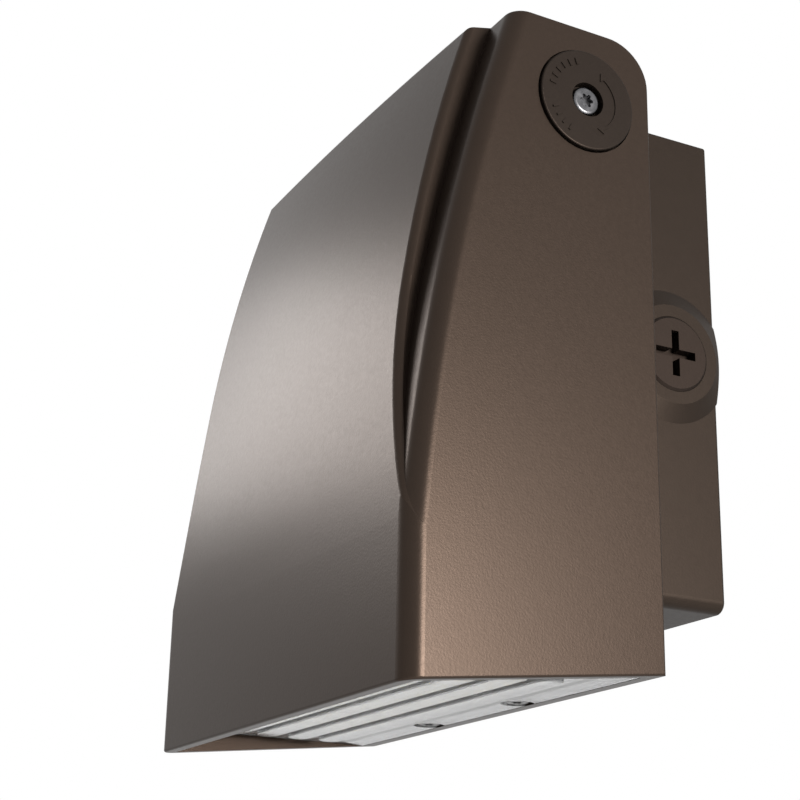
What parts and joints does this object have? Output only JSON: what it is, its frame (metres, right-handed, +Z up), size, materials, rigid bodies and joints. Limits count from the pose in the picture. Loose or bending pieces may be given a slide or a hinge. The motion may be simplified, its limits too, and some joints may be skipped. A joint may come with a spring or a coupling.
{
  "type": "wall pack light",
  "caption": "Outdoor LED wall pack with a full-cutoff head that swings up on quarter-turn lock pins in the ears of a wall-mounted back box.",
  "frame": {"origin": "centre of the back box on the wall plane", "axes": "+X right, +Y into the wall, +Z up; the light looks out along -Y and down"},
  "size_m": [0.1484, 0.0923, 0.1694],
  "materials": {
    "bronze_cast": "dark bronze powder coat, fine texture",
    "bronze_disc": "dark bronze powder coat, fine texture",
    "bronze_plug": "dark bronze powder coat, fine texture",
    "clear_lens": "clear polycarbonate, ribbed underside",
    "silicone": "grey silicone",
    "dark_steel": "black oxide",
    "zinc_steel": "zinc plated",
    "green_steel": "green coated ground screw",
    "cover_alu": "plain sheet",
    "board_white": "white solder mask",
    "led_yellow": "yellow phosphor",
    "driver_case": "white moulded case",
    "terminal_grey": "grey moulded block",
    "lead_black": "insulated wire"
  },
  "bodies": {
    "box": {"back_box": "bronze_cast", "box_gasket": "silicone", "conduit_plug_right": "bronze_plug", "conduit_plug_left": "bronze_plug", "ground_screw": "green_steel"},
    "head": {"housing": "bronze_cast", "lens": "clear_lens", "lens_gasket": "silicone", "lens_screws": "dark_steel", "led_board": "board_white", "led_chips": "led_yellow", "board_screws": "zinc_steel", "rear_cover": "cover_alu", "cover_gasket": "silicone", "cover_screws": "zinc_steel", "driver": "driver_case", "driver_screws": "zinc_steel", "terminal_block": "terminal_grey", "terminal_screws": "zinc_steel", "supply_leads": "lead_black", "led_leads": "lead_black"},
    "lock_right": {"lock_disc_right": "bronze_disc", "lock_cam_right": "zinc_steel", "lock_screw_right": "zinc_steel"},
    "lock_left": {"lock_disc_left": "bronze_disc", "lock_cam_left": "zinc_steel", "lock_screw_left": "zinc_steel"}
  },
  "joints": [
    {"name": "head_swing", "type": "hinge", "parent": "box", "child": "head", "pos_m": [0, -0.0444, 0.06], "axis": [-1, 0, 0], "range_deg": [0, 90]},
    {"name": "lock_right_turn", "type": "hinge", "parent": "head", "child": "lock_right", "pos_m": [0.074, -0.0444, 0.06], "axis": [1, 0, 0], "range_deg": [0, 90]},
    {"name": "lock_left_turn", "type": "hinge", "parent": "head", "child": "lock_left", "pos_m": [-0.074, -0.0444, 0.06], "axis": [-1, 0, 0], "range_deg": [0, 90]}
  ]
}
